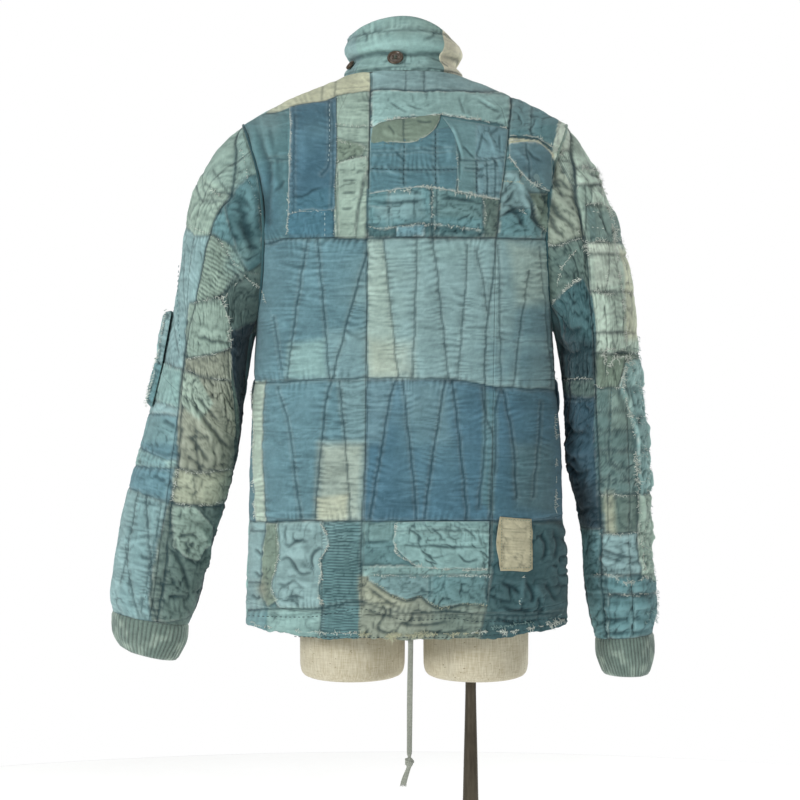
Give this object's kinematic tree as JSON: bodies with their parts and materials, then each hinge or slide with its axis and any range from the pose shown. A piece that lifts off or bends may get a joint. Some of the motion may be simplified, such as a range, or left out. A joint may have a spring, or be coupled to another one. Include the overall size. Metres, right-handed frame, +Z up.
{
  "type": "patched boro jacket on dress form",
  "caption": "Quilted, patched boro jacket with a stand collar, rib-knit cuffs and a hem drawstring, worn by a limbless dress form on a pole stand.",
  "frame": {"origin": "on the floor, at the middle of the base plate's underside", "axes": "+Z up; the jacket's front faces -Y and its patched back faces +Y; the wearer's left sleeve is on +X"},
  "size_m": [0.6936, 0.37, 1.5011],
  "materials": {
    "mid_blue_cotton": "quilted, faded indigo cotton",
    "dark_blue_cotton": "faded dark indigo cotton",
    "pale_blue_cotton": "washed pale blue cotton",
    "teal_cotton": "washed teal cotton",
    "pale_teal_cotton": "washed pale teal cotton",
    "sage_cotton": "faded sage cotton",
    "olive_cotton": "frayed olive cotton",
    "cream_cotton": "washed cream cotton",
    "navy_cotton": "dark navy cotton",
    "rib_knit": "grey-green rib knit",
    "linen": "natural linen cover",
    "label_cotton": "off-white cotton tape",
    "grey_tape": "pale grey woven tape",
    "horn_button": "dark brown horn",
    "stand_steel": "bronzed steel, satin",
    "cap_wood": "oiled turned wood"
  },
  "bodies": {
    "root": {"form_torso": "linen", "form_neck_cap": "cap_wood", "stand_base": "stand_steel", "stand_boss": "stand_steel", "stand_pole": "stand_steel", "back_yoke_left": "teal_cotton", "back_yoke_sage": "sage_cotton", "back_yoke_middle": "pale_teal_cotton", "back_yoke_right": "teal_cotton", "back_upper_left": "mid_blue_cotton", "back_upper_middle": "pale_blue_cotton", "back_upper_right": "pale_blue_cotton", "back_lower_left": "mid_blue_cotton", "back_lower_middle": "mid_blue_cotton", "back_lower_right": "teal_cotton", "back_band_side": "mid_blue_cotton", "back_band_pale": "pale_teal_cotton", "back_band_ribbed": "teal_cotton", "back_band_cream": "sage_cotton", "back_band_dark": "dark_blue_cotton", "back_hem_casing": "pale_blue_cotton", "yoke_patch_blue": "dark_blue_cotton", "yoke_patch_olive": "olive_cotton", "yoke_patch_square": "mid_blue_cotton", "yoke_patch_pleated": "teal_cotton", "yoke_patch_torn": "mid_blue_cotton", "band_patch_crinkled": "pale_teal_cotton", "sewn_label": "label_cotton", "front_right_upper": "pale_blue_cotton", "front_right_lower": "mid_blue_cotton", "front_left_upper": "pale_blue_cotton", "front_left_lower": "mid_blue_cotton", "front_pocket_right": "navy_cotton", "front_pocket_left": "navy_cotton", "front_pocket_flap_right": "dark_blue_cotton", "front_pocket_flap_left": "dark_blue_cotton", "front_fly": "mid_blue_cotton", "collar_main": "pale_blue_cotton", "collar_end": "cream_cotton", "collar_button_back": "horn_button", "collar_button_side": "horn_button", "sleeve_left_outer_upper": "pale_blue_cotton", "sleeve_left_outer_lower": "mid_blue_cotton", "sleeve_left_back_upper": "sage_cotton", "sleeve_left_back_lower": "pale_teal_cotton", "sleeve_left_front": "teal_cotton", "sleeve_right_outer_upper": "pale_blue_cotton", "sleeve_right_outer_lower": "mid_blue_cotton", "sleeve_right_back_upper": "sage_cotton", "sleeve_right_back_lower": "pale_teal_cotton", "sleeve_right_front": "teal_cotton", "cuff_left": "rib_knit", "cuff_right": "rib_knit", "sleeve_pocket": "teal_cotton", "sleeve_pocket_flap": "sage_cotton", "drawstring": "grey_tape", "drawstring_knot": "grey_tape"}
  },
  "joints": []
}
